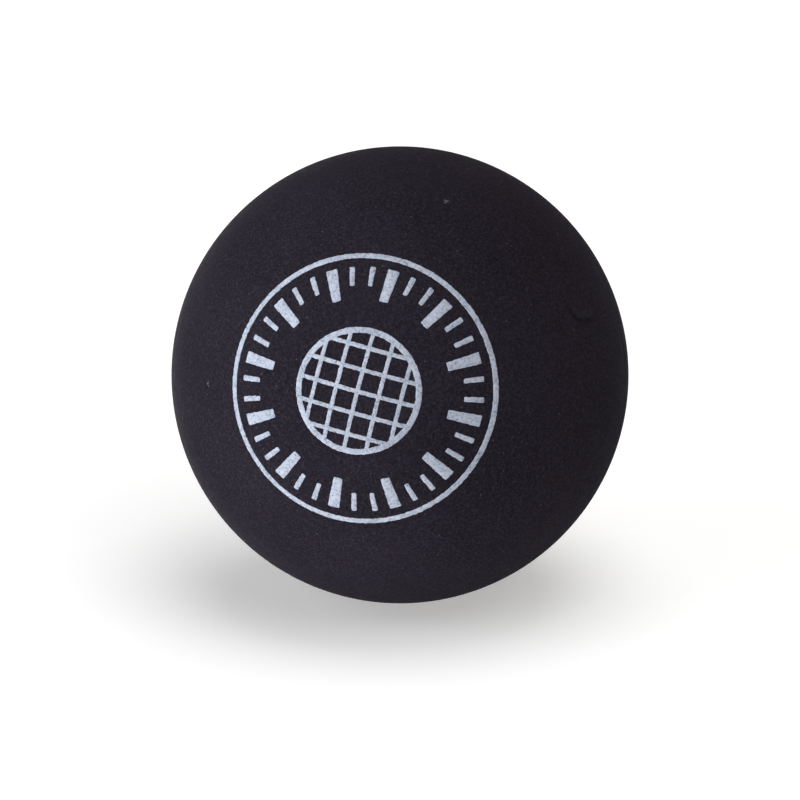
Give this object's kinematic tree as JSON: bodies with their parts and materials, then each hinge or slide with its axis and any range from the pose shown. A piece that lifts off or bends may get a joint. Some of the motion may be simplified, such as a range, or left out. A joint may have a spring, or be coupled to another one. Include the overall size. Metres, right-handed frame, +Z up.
{
  "type": "squash ball",
  "caption": "Hollow matte black rubber ball of half shells cemented rim to rim, with a plain grey dial printed at the front pole and a yellow speed dot at the rear pole.",
  "frame": {"origin": "centre of the ball", "axes": "+Z up, with the ball lying on a floor one radius below the origin; the ball's pole axis runs through the middle of the printed face, which looks towards -Y and 13.5 degrees above level; the seam plane is square to that axis"},
  "size_m": [0.04, 0.04, 0.04],
  "materials": {
    "ball_rubber": "matte",
    "rubber_cement": "satin",
    "grey_ink": "matte",
    "yellow_ink": "matte"
  },
  "bodies": {
    "root": {"front_half_shell": "ball_rubber", "rear_half_shell": "ball_rubber", "seam_cement": "rubber_cement", "printed_mark": "grey_ink", "speed_dot": "yellow_ink"}
  },
  "joints": []
}
